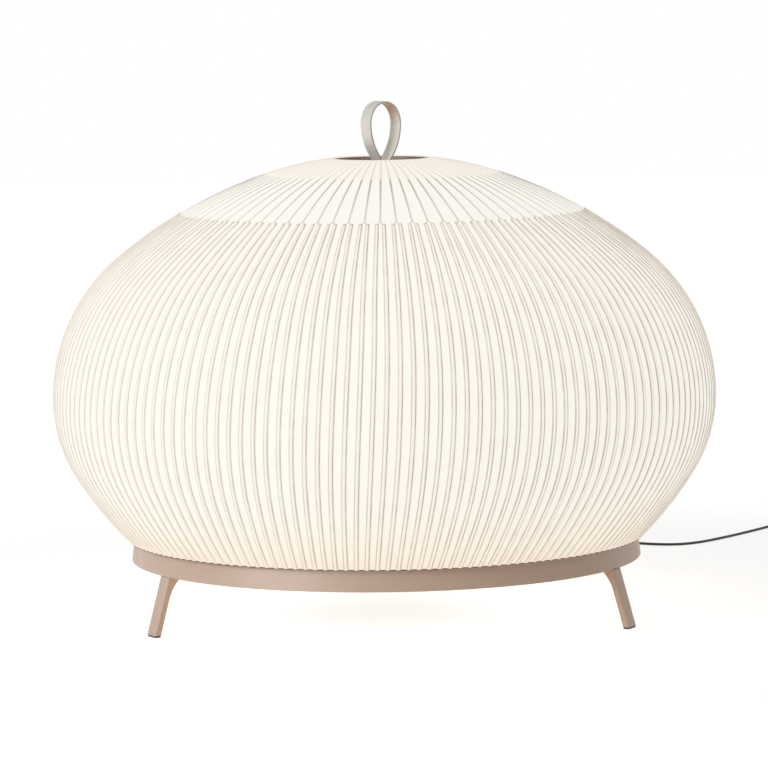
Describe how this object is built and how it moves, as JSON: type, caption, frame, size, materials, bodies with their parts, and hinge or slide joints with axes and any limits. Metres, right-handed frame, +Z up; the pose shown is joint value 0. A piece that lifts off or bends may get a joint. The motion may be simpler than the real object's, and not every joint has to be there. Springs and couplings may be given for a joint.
{
  "type": "floor lamp",
  "caption": "Low floor lamp with a wide bulging ribbed fabric shade, ring base on splayed legs, swivelling strap handle on top, and a mains lead with a foot switch.",
  "frame": {"origin": "on the floor under the middle of the lamp", "axes": "+Z up along the stem; -Y is the front in the picture; +X to the right"},
  "size_m": [0.998, 1.1399, 0.603],
  "materials": {
    "powder_coat": "matte beige powder coat on steel",
    "dish_coat": "dark taupe powder coat",
    "glide_rubber": "matte",
    "fastener_steel": "zinc plated",
    "hoop_steel": "white coated steel",
    "clamp_steel": "dark taupe powder coat",
    "shade_knit": "ivory knitted textile, translucent when lit",
    "rib_plastic": "white spring ribs",
    "strap_leather": "smooth pale strap",
    "holder_plastic": "white",
    "cap_brass": "plain",
    "bulb_glass": "opal glass",
    "lead_rubber": "matte black",
    "tie_plastic": "black",
    "switch_plastic": "black",
    "button_plastic": "black",
    "pin_chrome": "plated"
  },
  "bodies": {
    "lamp": {"base_ring": "powder_coat", "leg_back": "powder_coat", "leg_left": "powder_coat", "leg_right": "powder_coat", "glide_back": "glide_rubber", "glide_left": "glide_rubber", "glide_right": "glide_rubber", "hub_plate": "powder_coat", "leg_screws": "fastener_steel", "hub_screws": "fastener_steel", "hub_nuts": "fastener_steel", "cover_hem": "shade_knit", "cover_lower": "shade_knit", "cover_belly": "shade_knit", "cover_shoulder": "shade_knit", "cover_top": "shade_knit", "crown_cover": "shade_knit", "collar_cover": "shade_knit", "shade_ribs": "rib_plastic", "crown_ribs": "rib_plastic", "upper_hoop": "hoop_steel", "collar_hoop": "hoop_steel", "base_hoop": "hoop_steel", "hoop_screws": "fastener_steel", "top_ring": "dish_coat", "top_plate": "dish_coat", "plate_screws": "fastener_steel", "stem_tube": "powder_coat", "stem_foot": "powder_coat", "stem_head": "powder_coat", "foot_screws": "fastener_steel", "head_screws": "fastener_steel", "lampholder_1": "holder_plastic", "bulb_cap_1": "cap_brass", "bulb_1": "bulb_glass", "lampholder_2": "holder_plastic", "bulb_cap_2": "cap_brass", "bulb_2": "bulb_glass", "lampholder_3": "holder_plastic", "bulb_cap_3": "cap_brass", "bulb_3": "bulb_glass", "terminal_box": "holder_plastic", "terminal_block": "holder_plastic", "strain_relief": "lead_rubber", "cord_lamp_side": "lead_rubber", "cord_plug_side": "lead_rubber", "cord_coil": "lead_rubber", "coil_tie": "tie_plastic", "switch_base": "switch_plastic", "switch_cover": "switch_plastic", "switch_contacts": "cap_brass", "plug_body": "switch_plastic", "plug_pins": "pin_chrome"},
    "handle": {"handle_strap": "strap_leather", "handle_clamp": "clamp_steel", "strap_rivets": "fastener_steel", "swivel_nut": "fastener_steel"},
    "button": {"switch_button": "button_plastic"}
  },
  "joints": [
    {"name": "handle_swivel", "type": "hinge", "parent": "lamp", "child": "handle", "pos_m": [0, 0, 0.518], "axis": [0, 0, 1], "continuous": true},
    {"name": "button_press", "type": "slide", "parent": "lamp", "child": "button", "axis": [0, 0, -1], "range_m": [0, 0.0028], "stiffness_N_per_m": 900}
  ]
}
